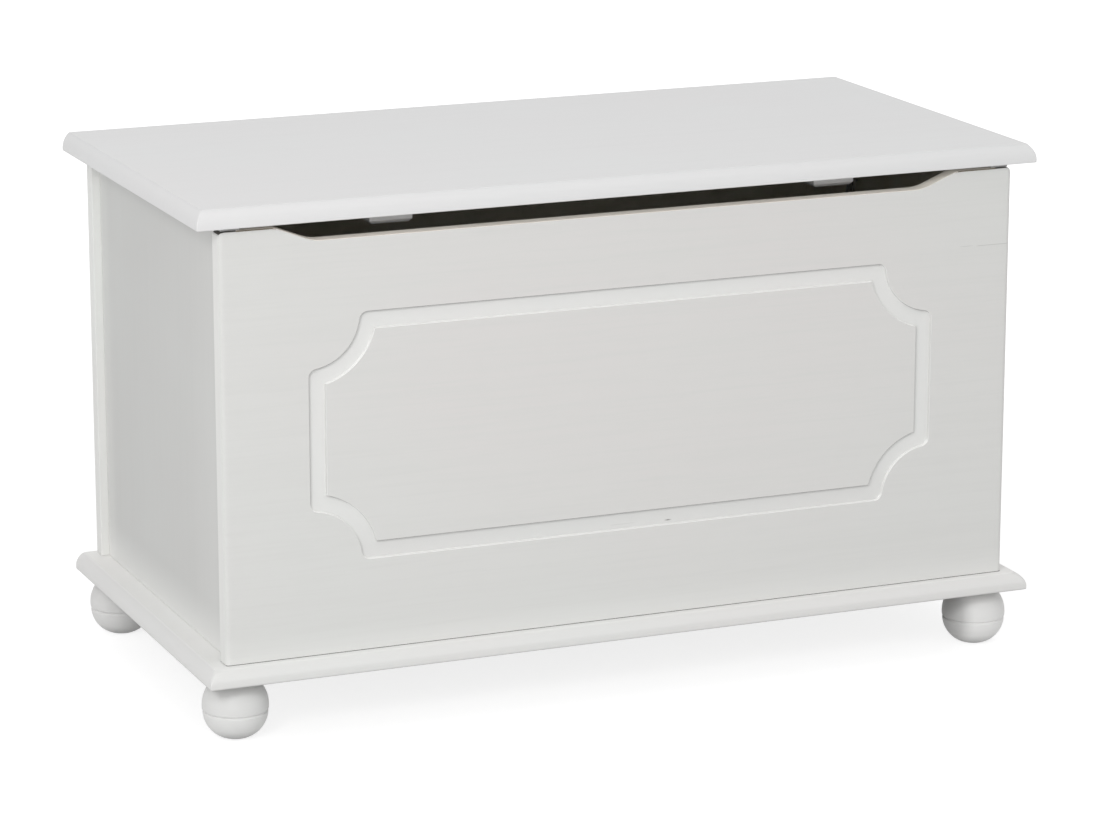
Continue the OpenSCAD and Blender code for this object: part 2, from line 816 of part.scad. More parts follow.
module cam_locks() {
    bolt_depth = board_t / 2; // bolt's axis below the side panel's inner face
    cam_h = cam_depth - cam_gap;
    color(zinc)
        for (s = [-1, 1], i = [0, 1], z = cam_zs)
            translate([s * (inner_x + cam_gap), corner_y[i] + corner_dir[i] * cam_back, z])
                rotate([0, 90 * s, 0])
                    difference() {
                        cylinder(r = cam_r, h = cam_h);
                        translate([0, 0, bolt_depth - cam_gap])
                            rotate([90 * corner_dir[i], 0, 0])
                                translate([0, 0, -cam_r / 2])
                                    cylinder(r = cam_groove_r, h = 2 * cam_r);
                        for (a = [0, 90])
                            rotate(a)
                                translate([cam_recess_edge - cam_r, -cam_recess_w / 2, -eps])
                                    cube([2 * (cam_r - cam_recess_edge), cam_recess_w, cam_recess_h]);
                    }
}

module corner_dowels() {
    color(beech)
        for (s = [-1, 1], i = [0, 1], z = corner_dowel_zs)
            translate([s * (side_x - board_t / 2), corner_y[i], z])
                rotate([-90 * corner_dir[i], 0, 0])
                    translate([0, 0, -corner_dowel_out])
                        cylinder(r = dowel_r, h = corner_dowel_out + corner_dowel_in);
}

module base_dowels() {
    color(beech)
        for (p = base_dowel_places())
            translate([p[0], p[1], base_top - dowel_in_base])
                cylinder(r = dowel_r, h = dowel_in_base + dowel_in_panel);
}

base_board();
front_panel();
back_panel();
mirror([1, 0, 0]) side_panel();  // side_panel_left
side_panel();  // side_panel_right
lid_panel();
mirror([1, 0, 0]) lid_batten();  // lid_batten_left
lid_batten();  // lid_batten_right
batten_screws();
foot(foot_xs[0], foot_front_y);  // foot_front_left
foot(foot_xs[1], foot_front_y);  // foot_front_right
foot(foot_xs[0], foot_rear_y);  // foot_rear_left
foot(foot_xs[1], foot_rear_y);  // foot_rear_right
foot_bolts();
foot_inserts();
hinge_box_leaf(-1);  // hinge_left_box_leaf
hinge_lid_leaf(-1);  // hinge_left_lid_leaf
hinge_pin(-1);  // hinge_left_pin
hinge_box_leaf(1);  // hinge_right_box_leaf
hinge_lid_leaf(1);  // hinge_right_lid_leaf
hinge_pin(1);  // hinge_right_pin
hinge_box_screws();
hinge_lid_screws();
mirror([1, 0, 0]) stay_arm();  // stay_arm_left
stay_arm();  // stay_arm_right
mirror([1, 0, 0]) stay_bracket();  // stay_bracket_left
stay_bracket();  // stay_bracket_right
mirror([1, 0, 0]) stay_rivet();  // stay_rivet_left
stay_rivet();  // stay_rivet_right
mirror([1, 0, 0]) stay_slide_screw();  // stay_slide_screw_left
stay_slide_screw();  // stay_slide_screw_right
stay_bracket_screws();
mirror([1, 0, 0]) lid_buffer();  // lid_buffer_left
lid_buffer();  // lid_buffer_right
cam_locks();
cam_bolts();
corner_dowels();
base_dowels();
base_screws();
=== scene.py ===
import json
import math

import bmesh
import bpy
from mathutils import Matrix, Vector


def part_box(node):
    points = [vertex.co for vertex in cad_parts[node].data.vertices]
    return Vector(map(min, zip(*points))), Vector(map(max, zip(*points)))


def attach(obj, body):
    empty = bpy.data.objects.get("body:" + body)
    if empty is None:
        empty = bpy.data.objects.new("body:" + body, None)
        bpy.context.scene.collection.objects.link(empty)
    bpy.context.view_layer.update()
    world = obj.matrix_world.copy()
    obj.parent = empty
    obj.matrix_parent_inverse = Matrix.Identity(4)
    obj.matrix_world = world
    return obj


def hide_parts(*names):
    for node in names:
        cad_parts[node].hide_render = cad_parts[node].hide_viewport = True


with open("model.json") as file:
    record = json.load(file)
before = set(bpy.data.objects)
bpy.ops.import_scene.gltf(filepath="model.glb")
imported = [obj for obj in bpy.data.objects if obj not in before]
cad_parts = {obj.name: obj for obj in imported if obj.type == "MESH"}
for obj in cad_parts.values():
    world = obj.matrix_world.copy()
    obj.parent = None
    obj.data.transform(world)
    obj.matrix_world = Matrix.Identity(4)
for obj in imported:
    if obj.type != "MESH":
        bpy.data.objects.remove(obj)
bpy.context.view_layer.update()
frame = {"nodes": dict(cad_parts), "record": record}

MM = 0.001
NODES = frame["nodes"]
BODY_OF = {n: b for b, ns in frame["record"]["behaviour"]["bodies"].items() for n in ns}
SLOT_OF = {s["node"]: s["material_slot"] for s in frame["record"]["subparts"]}

# Sizes repeated from part.scad, in millimetres
BOX_X = 400.0          # half the width of the front and back panels
INNER_X = 383.0        # the inner faces of the front and back panels are pine up to here, and painted beyond
FRONT_Y, FRONT_IN = -201.0, -183.0
BACK_Y, BACK_IN = 209.0, 191.0
BASE_TOP, WALL_TOP = 75.5, 479.5
GAP_H = 14.5
FIELD_SIDE, FIELD_LOW, FIELD_HIGH = 83.5, 87.0, 84.0
CHANNEL_W, CHANNEL_D, BITE_R = 16.0, 3.0, 50.0
ARRIS_R = 5.0
SCREW_HEAD_R, SCREW_SEAT_R, SCREW_SEAT_H = 4.56, 2.45, 3.5
BASE_SCREW_X = (-280.5, -93.5, 93.5, 280.5)
BASE_SCREW_END_Y = (-89.5, 97.5)
END_SCREW_X = 383.0

# Sizes of the finer shapes that are drawn only here, in millimetres
GAP_FOOT_X, GAP_SLOPE = 307.5, 0.40
GAP_FOOT_R, GAP_HEAD_R = 46.0, 24.0
GAP_SHIFT = -3.0       # the photo's hand gap is a little left of the middle
CORNER_R = 6.0
# Arris widths of the front and back panels, as shares of ARRIS_R
UPRIGHT_SHARE, TOP_SHARE, GAP_BACK_SHARE, FOOT_SHARE = 1.0, 0.2, 0.9, 0.15
GAP_END_X = 338.0      # the gap's wide inner arris ends here, before the curves of its two shoulders
NEAR = 0.1             # how close a point is to count as lying on a face or line
EDGE_LOW_R = 1.2
# Moulding: its reach on the top face, its land's height, its arc in degrees and how fast its corner rounds off
LID_EDGE = (7.2, 3.2, 50.0, 0.15)
BASE_EDGE = (9.0, 3.5, 69.0, 0.9)


# ---------------------------------------------------------------- mesh tools
def add_object(name, bm, node, materials, sharp=40):
    """A mesh in millimetres becomes a piece that stands for a CAD node."""
    bmesh.ops.recalc_face_normals(bm, faces=bm.faces)
    for f in bm.faces:
        f.smooth = True
    for e in bm.edges:
        if len(e.link_faces) == 2 and e.calc_face_angle(0) > math.radians(sharp):
            e.smooth = False
    me = bpy.data.meshes.new(name)
    bm.to_mesh(me)
    bm.free()
    me.transform(Matrix.Scale(MM, 4))
    for m in materials:
        me.materials.append(m)
    piece = bpy.data.objects.new(name, me)
    bpy.context.scene.collection.objects.link(piece)
    mod = piece.modifiers.new("normals", "WEIGHTED_NORMAL")
    mod.keep_sharp = True
    mod.weight = 80
    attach(piece, BODY_OF[node])
    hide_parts(node)
    return piece


def loop_verts(bm, points):
    return [bm.verts.new(p) for p in points]


def bridge(bm, a, b, flip=False):
    """Quads between two closed loops with the same number of vertices."""
    n = len(a)
    for i in range(n):
        j = (i + 1) % n
        quad = (a[i], a[j], b[j], b[i])
        bm.faces.new(quad[::-1] if flip else quad)


def loop_edges(bm, verts):
    out = []
    for i, v in enumerate(verts):
        w = verts[(i + 1) % len(verts)]
        out.append(bm.edges.get((v, w)) or bm.edges.new((v, w)))
    return out


def arc(cx, cy, r, a0, a1, n):
    return [(cx + r * math.cos(math.radians(a0 + (a1 - a0) * i / n)),
             cy + r * math.sin(math.radians(a0 + (a1 - a0) * i / n))) for i in range(n + 1)]


def circle(cx, cy, r, n=32):
    return arc(cx, cy, r, 0, 360, n)[:-1]


# ---------------------------------------------------------------- materials
def srgb(*rgb):
    return tuple(((v / 255 + 0.055) / 1.055) ** 2.4 if v > 10 else v / 255 / 12.92 for v in rgb) + (1.0,)


MIX_FAC, MIX_A, MIX_B, MIX_OUT = 0, 6, 7, 2   # a Mix node's sockets, when it mixes colours
# colours of the band of painted light and of the hairline joints and nicks
PAINTED_LIGHT_COLOUR, HAIRLINE_COLOUR = srgb(247, 247, 245), srgb(90, 88, 82)
HAIRLINE_FADE = 4      # millimetres over which a hairline fades out at its ends


class Tree:
    """A small wrapper that makes shader nodes and links them."""

    def __init__(self, name):
        self.mat = bpy.data.materials.new(name)
        self.mat.use_nodes = True
        self.nt = self.mat.node_tree
        self.nt.nodes.clear()
        self.coords = self.nt.nodes.new("ShaderNodeTexCoord").outputs["Object"]

    def node(self, kind, inputs=None, **props):
        n = self.nt.nodes.new(kind)
        for k, v in props.items():
            setattr(n, k, v)
        for k, v in (inputs or {}).items():
            if isinstance(v, bpy.types.NodeSocket):
                self.nt.links.new(v, n.inputs[k])
            else:
                n.inputs[k].default_value = v
        return n

    def noise(self, stretch, scale, detail=3.0, rough=0.55, distortion=0.0):
        """Noise over object coordinates, stretched by a scale per axis."""
        m = self.node("ShaderNodeMapping", {"Vector": self.coords, "Scale": stretch})
        n = self.node("ShaderNodeTexNoise", {
            "Vector": m.outputs[0], "Scale": scale, "Detail": detail, "Roughness": rough,
            "Distortion": distortion})
        return n.outputs["Fac"]

    def ramp(self, fac, lo, hi, a=0.0, b=1.0):
        n = self.node("ShaderNodeMapRange", {
            "Value": fac, "From Min": lo, "From Max": hi, "To Min": a, "To Max": b})
        return n.outputs["Result"]

    def mix(self, fac, a, b):
        n = self.node("ShaderNodeMix", data_type="RGBA")
        for k, v in ((MIX_FAC, fac), (MIX_A, a), (MIX_B, b)):
            if isinstance(v, bpy.types.NodeSocket):
                self.nt.links.new(v, n.inputs[k])
            else:
                n.inputs[k].default_value = v
        return n.outputs[MIX_OUT]

    def calc(self, a, b, kind="ADD"):
        return self.node("ShaderNodeMath", {0: a, 1: b}, operation=kind).outputs[0]

    def times(self, a, b):
        n = self.node("ShaderNodeMix", data_type="RGBA", blend_type="MULTIPLY")
        n.inputs[MIX_FAC].default_value = 1.0
        self.nt.links.new(a, n.inputs[MIX_A])
        self.nt.links.new(b, n.inputs[MIX_B])
        return n.outputs[MIX_OUT]

    def bump(self, height, distance, strength=1.0):
        n = self.node("ShaderNodeBump", {"Height": height, "Distance": distance, "Strength": strength})
        return n.outputs[0]

    def finish(self, **sockets):
        p = self.node("ShaderNodeBsdfPrincipled", sockets)
        out = self.node("ShaderNodeOutputMaterial")
        self.nt.links.new(p.outputs[0], out.inputs["Surface"])
        return self.mat


def paint(name, rgb, grain, roughness, specular=0.3, hue=1.0, streak=1.0, rosy_at=None, painted_shades=(),
          painted_light_band=None, marks=()):
    """Satin paint over pine: faint streaks along the grain, slow blotches of hue and a shallow relief.

    rosy_at is a place, in metres, round which the wood's warmth shows through the paint. The rest is in
    millimetres. shades holds pairs of an axis and a list of (place along it, lightness): ramps of painted
    shade and painted light that darken or lighten the paint by place. glow is (height, height, share), for a
    paler band of painted light that fades out from the first height to the second. marks holds hairlines along x,
    each as two places along it, a height, a thickness and a lightness.
    """
    t = Tree(name)
    base = srgb(*rgb)
    streaks = t.noise(grain, 1.0, 4.0, 0.6, 0.4)
    fine = t.noise(tuple(g * 5 for g in grain), 1.0, 3.0, 0.6)
    broad = t.noise((1, 1, 1.4), 4.2, 2.0, 0.45)
    rosy = tuple(c * k for c, k in zip(base, (1.002, 0.982, 0.988))) + (1.0,)
    cool = tuple(c * k for c, k in zip(base, (0.992, 1.000, 1.000))) + (1.0,)
    warmth = t.ramp(broad, 0.38, 0.62)
    if rosy_at:
        off = t.node("ShaderNodeVectorMath", {0: t.coords, 1: rosy_at}, operation="SUBTRACT").outputs[0]
        flat = t.node("ShaderNodeVectorMath", {0: off, 1: (1.0, 0.0, 1.7)}, operation="MULTIPLY").outputs[0]
        near = t.node("ShaderNodeVectorMath", {0: flat}, operation="LENGTH").outputs["Value"]
        warmth = t.calc(t.ramp(near, 0.20, 0.44, 0.8, 0.0), t.calc(warmth, 0.3, "MULTIPLY"))
    colour = t.mix(hue, base, t.mix(warmth, cool, rosy))
    darker = tuple(c * (1 - 0.035 * streak) for c in base[:3]) + (1.0,)
    colour = t.mix(t.ramp(streaks, 0.50, 0.74, 0.0, 0.6), colour, darker)
    colour = t.mix(t.ramp(fine, 0.48, 0.72, 0.0, 0.6), colour, darker)
    # each ramp multiplies the colour: painted shade and painted light by place along one axis
    for axis, levels in painted_shades:
        place = t.node("ShaderNodeSeparateXYZ", {0: t.coords}).outputs[axis]
        start, end = levels[0][0], levels[-1][0]
        n = t.node("ShaderNodeValToRGB", {"Fac": t.ramp(place, start * MM, end * MM)})
        stops = n.color_ramp.elements
        while len(stops) < len(levels):
            stops.new(0.5)
        for stop, (at, level) in zip(stops, levels):
            stop.position = (at - start) / (end - start)
            stop.color = (level, level, level, 1.0)
        colour = t.times(colour, n.outputs["Color"])
    # a paler band of painted light that fades out upwards
    if painted_light_band:
        z = t.node("ShaderNodeSeparateXYZ", {0: t.coords}).outputs["Z"]
        rise = t.calc(t.ramp(z, painted_light_band[0] * MM, painted_light_band[1] * MM, 1.0, 0.0), 1.5, "POWER")
        colour = t.mix(t.calc(rise, painted_light_band[2], "MULTIPLY"), colour, PAINTED_LIGHT_COLOUR)
    for x0, x1, height, thick, level in marks:
        xyz = t.node("ShaderNodeSeparateXYZ", {0: t.coords})
        off_x = t.calc(t.calc(xyz.outputs["X"], (x0 + x1) / 2 * MM, "SUBTRACT"), 0.0, "ABSOLUTE")
        off_z = t.calc(t.calc(xyz.outputs["Z"], height * MM, "SUBTRACT"), 0.0, "ABSOLUTE")
        half = (x1 - x0) / 2
        on_x = t.ramp(off_x, max(0.0, half - HAIRLINE_FADE) * MM, half * MM, 1.0, 0.0)
        on_z = t.ramp(off_z, thick / 4 * MM, thick / 2 * MM, 1.0, 0.0)
        there = t.calc(t.calc(on_x, on_z, "MULTIPLY"), 1 - level, "MULTIPLY")
        colour = t.mix(there, colour, HAIRLINE_COLOUR)
    rough = t.ramp(broad, 0.3, 0.7, roughness - 0.04, roughness + 0.05)
    relief = t.calc(t.calc(streaks, 0.6, "MULTIPLY"), t.calc(fine, 0.4, "MULTIPLY"))
    return t.finish(**{"Base Color": colour, "Roughness": rough, "Specular IOR Level": specular,
                       "Normal": t.bump(relief, 0.00006, 0.5 * streak)})


def channel_wall_paint():
    """Paint of the channel's lips and walls: painted shade on those that face down or to the right, and a painted
    highlight on those that face up.
    """
    t = Tree("paint_channel_wall")
    down_right = (0.6, 0.0, -0.8)
    normal = t.node("ShaderNodeTexCoord").outputs["Normal"]
    lean = t.node("ShaderNodeVectorMath", {0: normal, 1: down_right}, operation="DOT_PRODUCT").outputs["Value"]
    # a fine noise that lets the painted shade vary a little and gives the walls a faint relief
    speckle = t.noise((1, 1, 1), 60.0, 3.0, 0.6)
    fac = t.calc(t.ramp(lean, 0.2, 0.55), t.ramp(speckle, 0.3, 0.7, 0.85, 1.0), "MULTIPLY")
    up = t.node("ShaderNodeSeparateXYZ", {0: normal}).outputs["Z"]
    # walls that face up are lighter as a painted highlight; those that face down are darkest as painted shade
    wall_with_painted_highlight = t.mix(t.ramp(up, 0.1, 0.5), srgb(226, 226, 224), srgb(248, 248, 246))
    painted_shade_colour = t.mix(t.ramp(up, -0.7, -0.3), srgb(86, 84, 80), srgb(118, 117, 113))
    colour = t.mix(fac, wall_with_painted_highlight, painted_shade_colour)
    return t.finish(**{"Base Color": colour, "Roughness": 0.5, "Specular IOR Level": 0.3,
                       "Normal": t.bump(speckle, 0.00005, 0.3)})


def pine():
    """Sealed pale pine, for the inner faces of the box."""
    t = Tree("sealed_pine")
    rings = t.noise((1.6, 26.0, 26.0), 1.0, 3.0, 0.55, 0.8)
    fine = t.noise((8, 420, 420), 1.0, 3.0, 0.6)
    colour = t.mix(t.ramp(rings, 0.35, 0.65), srgb(245, 240, 229), srgb(239, 231, 215))
    return t.finish(**{"Base Color": colour, "Roughness": 0.55, "Specular IOR Level": 0.3,
                       "Normal": t.bump(t.calc(fine, rings), 0.00008, 0.5)})


# Stretch of the streaks for grain along each axis, and for places where no grain shows
ALONG_X, ALONG_Y, ALONG_Z = (2.2, 60.0, 60.0), (60.0, 2.2, 60.0), (60.0, 60.0, 2.2)
NO_GRAIN = (20.0, 20.0, 20.0)
# Ramps of painted shade and painted light for the paints, as (place in mm, lightness)
# side panels: the level near 0.8 is their own darker finish; the rise towards the front and the steep rise over
# the last 30 mm before the back panel are painted light, the latter a painted reflection of the back panel's end
SIDE_TONE_AND_PAINTED_LIGHT = ((-183, 0.856), (-150, 0.845), (-90, 0.80), (60, 0.772), (110, 0.768), (150, 0.785), (158, 0.79),
              (165, 0.82), (170, 0.865), (180, 0.925), (191, 1.0))
# lid: painted shade on the upper part of the moulding's arc, just below the top face
LID_PAINTED_SHADE = ((483.5, 1.0), (496, 1.0), (499.5, 0.98), (501.2, 0.94), (501.5, 1.0))
# base board: painted shade, darkest on the underside and lower arris and darker on the land and moulding, so that
# the top face beside the panels is left lighter as painted light
BASE_PAINTED_SHADE = ((59, 0.62), (60.2, 0.8), (61.2, 0.87), (65.4, 0.87), (67.6, 0.905), (74.5, 0.905), (75.5, 1.0))
# base board's ends: the same kind of painted shade, a little stronger, for faces that look sideways
BASE_END_PAINTED_SHADE = ((59, 0.6), (60.2, 0.8), (61.2, 0.88), (67, 0.88), (74.5, 0.87), (75.5, 0.95))
# feet: painted shade near the floor and under the base board
FOOT_PAINTED_SHADE_UP = ((0, 0.62), (5, 0.82), (11, 1.0), (24, 1.0), (30, 0.98), (48, 0.97), (54, 0.88), (59, 0.6))
# and painted shade on the sides that face in under the box, with the left feet a little darker than the right
FOOT_PAINTED_SHADE_ALONG = ((-420, 0.87), (-412, 0.91), (-388, 0.905), (-364, 0.915), (-355, 0.85), (0, 0.7),
                    (355, 0.58), (361, 0.7), (366, 0.91), (371, 1.0), (420, 0.97))

# the front panel's paint has a band of painted light along its bottom, 76 to 104 mm up, that offsets the shade
# beside the base board
paint_x = paint("paint_panel", (221, 221, 218.5), ALONG_X, 0.5, rosy_at=(0.03, -0.2, 0.34),
                painted_light_band=(76, 104, 0.3), marks=((345, 361, 405.6, 1.0, 0.86), (363, 400, 405, 1.0, 0.8)))
paint_lid = paint("paint_lid", (227.5, 227.5, 227.5), ALONG_X, 0.5, hue=0.3, streak=0.6,
                  painted_shades=(("Z", LID_PAINTED_SHADE),))
paint_base = paint("paint_base_board", (241, 241, 239), ALONG_X, 0.5, hue=0.5, streak=0.6,
                   painted_shades=(("Z", BASE_PAINTED_SHADE),))
paint_base_end_shaded = paint("paint_base_end_shaded", (242, 242, 240.5), ALONG_Y, 0.5, hue=0.5, streak=0.6,
                       painted_shades=(("Z", BASE_END_PAINTED_SHADE),))
# the side panels' paint also has a band of painted light along the bottom, 76 to 118 mm up: a painted reflection
# of the base board's top, offsetting the shade beside it
paint_side = paint("paint_side", (224, 224.5, 222), ALONG_Z, 0.4, hue=0.3, streak=0.6,
                   painted_shades=(("Y", SIDE_TONE_AND_PAINTED_LIGHT),), painted_light_band=(76, 118, 0.7))
# dark paint of painted shade, for the crease where the front panel meets the base board and for its top corners
# under the lid
seam_mat = paint("seam_painted_shade", (76, 74, 70), NO_GRAIN, 0.6, hue=0.4, streak=0.3)
# brown of raw wood where the paint is worn, darkened as painted shade of the lid above the arris
worn_and_shaded_mat = paint("worn_and_shaded_arris", (124, 113, 94), NO_GRAIN, 0.6, hue=0.4, streak=0.3)
# the feet's paint takes both ramps of painted shade above
paint_turned = paint("paint_turned", (239, 239, 237.5), (3.0, 3.0, 140.0), 0.45, hue=0.3, streak=0.6,
                     painted_shades=(("Z", FOOT_PAINTED_SHADE_UP), ("X", FOOT_PAINTED_SHADE_ALONG)))
# the ends' and back panel's paler paint is 3% darker up to 280 mm, fading out by 400 mm, as painted shade
paint_edge = paint("paint_edge", (235, 235.8, 233), NO_GRAIN, 0.5, hue=0.4, streak=0.3,
                   painted_shades=(("Z", ((76, 0.97), (280, 0.97), (400, 1.0))),))
# paler than the face paint: painted light on the hand gap's floor, which lies in the lid's shade
paint_cut = paint("paint_cut", (252, 246, 236), ALONG_X, 0.55, hue=0.4, streak=0.3)
# the channel's floor is its own smoother, whiter paint; its lower run is about 5% darker as painted shade
paint_channel = paint("paint_channel", (231, 231.2, 229.2), NO_GRAIN, 0.5, hue=0.5, streak=0.3,
                      painted_shades=(("Z", ((165, 0.945), (178, 0.95), (215, 1.0))),),
                      marks=((-19, 9, 167, 0.9, 0.9), (38, 46, 166, 1.5, 0.2)))
paint_wall = channel_wall_paint()
pine_mat = pine()


def zinc():
    t = Tree("zinc_plate")
    spangle = t.noise((1, 1, 1), 260.0, 2.0, 0.5)
    marks = t.noise((40, 900, 900), 1.0, 2.0, 0.5)
    colour = t.mix(t.ramp(spangle, 0.35, 0.65), srgb(186, 188, 190), srgb(208, 209, 210))
    rough = t.ramp(t.calc(spangle, marks, "MULTIPLY"), 0.1, 0.4, 0.3, 0.46)
    return t.finish(**{"Base Color": colour, "Metallic": 1.0, "Roughness": rough,
                       "Normal": t.bump(marks, 0.00002, 0.5)})


def beech():
    t = Tree("beech")
    grain = t.noise((30, 300, 300), 1.0, 4.0, 0.6)
    colour = t.mix(t.ramp(grain, 0.3, 0.7), srgb(214, 184, 142), srgb(190, 154, 110))
    return t.finish(**{"Base Color": colour, "Roughness": 0.6, "Normal": t.bump(grain, 0.0001, 0.5)})


def felt():
    t = Tree("grey_felt")
    fibre = t.noise((1, 1, 1), 1800.0, 3.0, 0.7)
    colour = t.mix(fibre, srgb(176, 176, 175), srgb(204, 204, 203))
    return t.finish(**{"Base Color": colour, "Roughness": 0.92, "Normal": t.bump(fibre, 0.0002, 0.8)})


zinc_mat, beech_mat, felt_mat = zinc(), beech(), felt()
MATERIAL = {"white_paint": paint_lid, "zinc_steel": zinc_mat, "beech": beech_mat, "grey_pad": felt_mat}


# ---------------------------------------------------------------- front and back panels
def fillet(before, corner, after, radius, n=8):
    """Points of the arc that rounds off a corner of an outline."""
    b, c, a = Vector(before), Vector(corner), Vector(after)
    u, v = (b - c).normalized(), (a - c).normalized()
    half = u.angle(v) / 2
    centre = c + (u + v).normalized() * (radius / math.sin(half))
    p, q = ((c + w * (radius / math.tan(half)) - centre) / radius for w in (u, v))
    return [tuple(centre + p.slerp(q, i / n) * radius) for i in range(n + 1)]


def hand_gap_points():
    """Elevation of the front panel's top edge, from right to left."""
    floor_z = WALL_TOP - GAP_H
    foot, head = (GAP_FOOT_X, floor_z), (GAP_FOOT_X + GAP_H / GAP_SLOPE, WALL_TOP)
    right = fillet((BOX_X, WALL_TOP), head, foot, GAP_HEAD_R) + fillet(head, foot, (0.0, floor_z), GAP_FOOT_R)
    return [(x + GAP_SHIFT, z) for x, z in right + [(-x, z) for x, z in reversed(right)]]


def channel_loop(d, corner_n=8, arc_n=20):
    """The cutter's route moved outwards by d: a closed loop in the front panel's elevation."""
    r = CHANNEL_W / 2
    half = BOX_X - FIELD_SIDE
    low, high = BASE_TOP + FIELD_LOW, WALL_TOP - FIELD_HIGH
    mid_r = BITE_R + r
    meet = math.sqrt(mid_r ** 2 - r ** 2)
    turn = math.degrees(math.asin(r / mid_r))
    bite = mid_r - d
    if d >= 0:
        corner = arc(half - meet, r, d, -90, -turn, corner_n)
        a0 = turn
    else:
        x = math.sqrt(bite ** 2 - (r - d) ** 2)
        corner = [(half - x, r - d)] * (corner_n + 1)
        a0 = math.degrees(math.asin((r - d) / bite))
    # One quarter, about the corner point (half, low): from the lower run to the right-hand run
    q = [(x, low + y) for x, y in corner]
    for i in range(1, arc_n):
        a = math.radians(a0 + (90 - 2 * a0) * i / arc_n)
        q.append((half - bite * math.cos(a), low + bite * math.sin(a)))
    q += [(half - y, low + half - x) for x, y in reversed(corner)]
    mid_z = (low + high) / 2
    loop = list(q)
    loop += [(x, 2 * mid_z - z) for x, z in reversed(q)]
    loop += [(-x, 2 * mid_z - z) for x, z in q]
    loop += [(-x, z) for x, z in reversed(q)]
    return loop


def channel_profile():
    """Offsets and depths across one side of the channel, from the panel's face to the floor."""
    lip, foot = 0.6, 0.4
    wall = CHANNEL_W / 2
    pts = [(wall + lip - lip * math.sin(math.radians(a)), lip - lip * math.cos(math.radians(a)))
           for a in (0, 22.5, 45, 67.5, 90)]
    pts += [(wall - foot + foot * math.cos(math.radians(a)),
             CHANNEL_D - foot + foot * math.sin(math.radians(a))) for a in (0, 30, 60, 90)]
    return pts


# Places in a panel's list of materials
FACE, PINE, END, CHANNEL_WALL, CHANNEL_FLOOR, CUT, SEAM, WORN_AND_SHADED = range(8)


def arris_share(a, b, y_out, y_in, has_gap):
    """Bevel width of the panel's edge from a to b, as a share of ARRIS_R."""
    outer = max(abs(a.y - y_out), abs(b.y - y_out)) < NEAR
    if outer and abs(a.z - b.z) > 100:
        return UPRIGHT_SHARE
    corner_x, corner_z = BOX_X - CORNER_R - NEAR, WALL_TOP - CORNER_R - NEAR
    if outer and min(abs(a.x), abs(b.x)) > corner_x and min(a.z, b.z) > corner_z:
        # Round the top corner the arris narrows from the upright's width to the top's
        return TOP_SHARE + (1 - TOP_SHARE) * (WALL_TOP - (a.z + b.z) / 2) / CORNER_R
    # This large step in width has to come where a straight edge meets the shoulder's curve. Among the
    # curve's short edges the unclamped bevel would shoot out of the board.
    in_gap = min(abs(a.x - GAP_SHIFT), abs(b.x - GAP_SHIFT)) < GAP_END_X and min(a.z, b.z) > WALL_TOP - GAP_H - 1
    if has_gap and in_gap and min(a.y, b.y) > y_in - NEAR:
        return GAP_BACK_SHARE
    return FOOT_SHARE if max(a.z, b.z) < BASE_TOP + 1 else TOP_SHARE


def panel_material(face, y_out, y_in, has_gap):
    """Which of a panel's materials a face gets."""
    c, n = face.calc_center_median(), face.normal
    # the crease along the base board gets the seam material, on the front panel a dark line of painted shade
    if c.z < BASE_TOP + 0.5 and n.z > -0.99:
        return SEAM
    # the top front arris gets brown worn paint, darkened as painted shade of the lid
    on_top_arris = c.z > WALL_TOP - 1.5 and abs(c.y - y_out) < 1.5 and 0.2 < n.z < 0.99
    if on_top_arris and abs(n.x) < 0.1 and abs(c.x) < BOX_X - 12:
        return WORN_AND_SHADED
    if abs(c.y - y_in) < 0.01 and abs(c.x) < INNER_X:
        return PINE
    in_field = abs(c.x) < BOX_X - FIELD_SIDE + 2 and c.z < WALL_TOP - GAP_H - 5
    if in_field and y_out + 0.01 < c.y < y_out + CHANNEL_D + 0.01:
        return CHANNEL_WALL if abs(n.y) < 0.99 else CHANNEL_FLOOR
    # top faces by the hand gap get the paler paint of painted light; at the front panel's top corners they get the
    # dark seam material as painted shade under the lid
    if n.z > 0.6 and c.z > WALL_TOP - GAP_H - 1:
        return SEAM if has_gap and abs(c.x) > INNER_X - 3 else CUT
    return END if abs(n.x) > 0.9 else FACE


